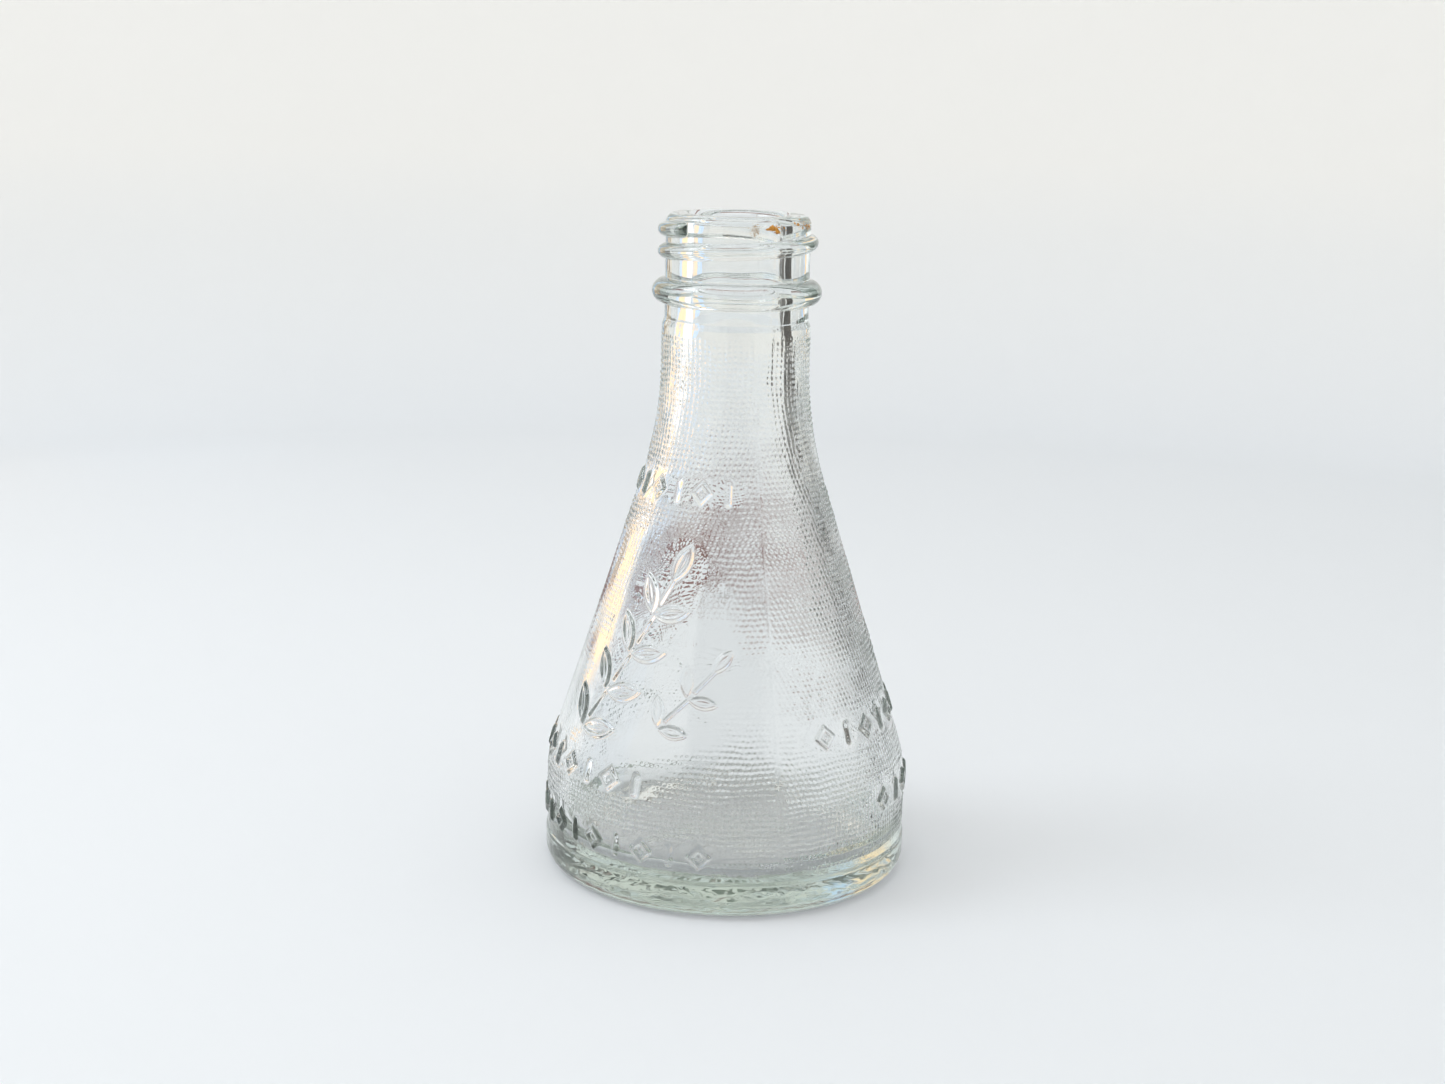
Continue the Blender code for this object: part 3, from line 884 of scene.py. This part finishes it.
def glow_material(name, low, high, foot, top):
    """A panel that glows from one colour at its foot to another at its top."""
    nodes = Nodes(name)
    share = nodes.spread(nodes.level(nodes.place()), metres(foot), metres(top), 0.0, 1.0)
    colour = nodes.blend(share, low, high)
    nodes.feed(nodes.shader.inputs["Base Color"], (0.0, 0.0, 0.0, 1.0))
    nodes.feed(nodes.shader.inputs["Specular IOR Level"], 0.0)
    nodes.feed(nodes.shader.inputs["Emission Color"], colour)
    nodes.feed(nodes.shader.inputs["Emission Strength"], 1.0)
    return nodes.material


def make_panel(name, bearings, reach, low, high):
    """An upright curved panel that only the glass sees.

    It spans two bearings from the bottle, at a reach of (distance, foot, top), and glows from the
    low colour at its foot to the high colour at its top.
    """
    distance, foot, top = reach
    azimuth = np.linspace(*bearings, 25)
    heights = np.linspace(foot, top, 9)
    turn = np.radians(azimuth)[None, :]
    level = heights[:, None] + 0 * turn
    x = distance * np.sin(turn) + 0 * level
    y = -distance * np.cos(turn) + 0 * level
    points = metres(np.stack([x, y, level], -1))
    count = len(azimuth)
    faces = [(row * count + i, row * count + i + 1, (row + 1) * count + i + 1, (row + 1) * count + i)
             for row in range(len(heights) - 1) for i in range(count - 1)]
    mesh = bpy.data.meshes.new(name)
    mesh.from_pydata(points.reshape(-1, 3).tolist(), [], faces)
    panel = add_object(name, mesh, glow_material(name + "_glow", low, high, foot, top))
    panel.visible_camera = False
    panel.visible_diffuse = False
    panel.visible_shadow = False
    panel.visible_volume_scatter = False


def make_panels():
    """What the glass picks up round the room: a bright window on the left, dim uprights on the
    right, a dim room behind the camera and a brown edge beyond the bottle."""
    tall = (WINDOW_R, WINDOW_FOOT, WINDOW_TOP)
    make_panel("window_sky", (-157, -148), tall, (0.80, 0.98, 1.25), (0.85, 1.08, 1.40))
    make_panel("window_cream", (-147, -127), tall, (1.50, 1.06, 0.66), (1.50, 1.18, 0.82))
    make_panel("window_white", (-126, -108), tall, (1.30, 1.30, 1.32), (1.35, 1.40, 1.48))
    make_panel("window_shade", (-107, -66), tall, (0.66, 0.76, 0.90), (0.90, 1.02, 1.18))
    make_panel("bright_gap", (90, 97), tall, (1.00, 0.95, 0.88), (1.05, 1.02, 0.96))
    make_panel("dim_post", (98, 115), tall, (0.13, 0.12, 0.11), (0.20, 0.19, 0.18))
    make_panel("dim_door", (118, 140), tall, (0.04, 0.035, 0.03), (0.07, 0.06, 0.05))
    make_panel("dim_room", (-28, 34), (WINDOW_R, 90, WINDOW_TOP), (0.10, 0.10, 0.10),
               (0.22, 0.22, 0.22))
    make_panel("wood_edge", (146, 214), (EDGE_R, EDGE_FOOT, EDGE_TOP), (0.17, 0.065, 0.05),
               (0.24, 0.10, 0.08))


def make_light(name, azimuth, distance, height, width, tall, colour, power, aim=50.0):
    """A soft rectangular light on a bearing from the bottle, turned to face it."""
    data = bpy.data.lights.new(name, "AREA")
    data.shape = "RECTANGLE"
    data.size, data.size_y = metres(width), metres(tall)
    data.color, data.energy = colour, power
    light = bpy.data.objects.new(name, data)
    turn = math.radians(azimuth)
    light.location = metres(Vector((distance * math.sin(turn), -distance * math.cos(turn), height)))
    towards = metres(Vector((0, 0, aim))) - light.location
    light.rotation_euler = towards.to_track_quat("-Z", "Y").to_euler()
    light.visible_camera = False
    bpy.context.scene.collection.objects.link(light)


def make_lights():
    """A window on the left, soft light from above, and the world for fill."""
    make_light("window", -82, 395, 430, 260, 300, (0.93, 0.96, 1.0), 1.08)
    make_light("ceiling", 0, 60, 600, 420, 420, (1.0, 0.98, 0.95), 0.92, 0.0)
    world = bpy.data.worlds.new("soft_room")
    bpy.context.scene.world = world
    world.use_nodes = True
    background = world.node_tree.nodes["Background"]
    background.inputs["Color"].default_value = (1.0, 0.99, 0.97, 1.0)
    background.inputs["Strength"].default_value = 0.34


def make_camera():
    """The camera, at the photograph's distance, height and tilt."""
    pitch, yaw, roll = (math.radians(turn) for turn in (CAMERA_PITCH, CAMERA_YAW, CAMERA_ROLL))
    level = math.cos(pitch)
    forward = Vector((math.sin(yaw) * level, math.cos(yaw) * level, -math.sin(pitch)))
    right = forward.cross(Vector((0, 0, 1))).normalized()
    up = right.cross(forward)
    across = math.cos(roll) * right + math.sin(roll) * up
    upward = -math.sin(roll) * right + math.cos(roll) * up
    data = bpy.data.cameras.new("camera")
    data.sensor_width, data.lens = SENSOR, CAMERA_LENS
    data.clip_start, data.clip_end = 0.01, 20.0
    camera = bpy.data.objects.new("camera", data)
    matrix = Matrix((across, upward, -forward)).transposed().to_4x4()
    matrix.translation = metres(Vector((0, -CAMERA_DISTANCE, CAMERA_HEIGHT)))
    camera.matrix_world = matrix
    bpy.context.scene.collection.objects.link(camera)
    bpy.context.scene.camera = camera
    bpy.context.scene.view_settings.view_transform = "Standard"


def allow_deep_glass():
    """Lets light pass the many walls of the bottle on its way to the floor under it and back."""
    cycles = bpy.context.scene.cycles
    cycles.max_bounces = 28
    cycles.transmission_bounces = 24
    cycles.glossy_bounces = 10
    cycles.diffuse_bounces = 4


make_bottle()
make_stains()
make_room()
make_panels()
make_lights()
make_camera()
allow_deep_glass()
bpy.context.view_layer.update()
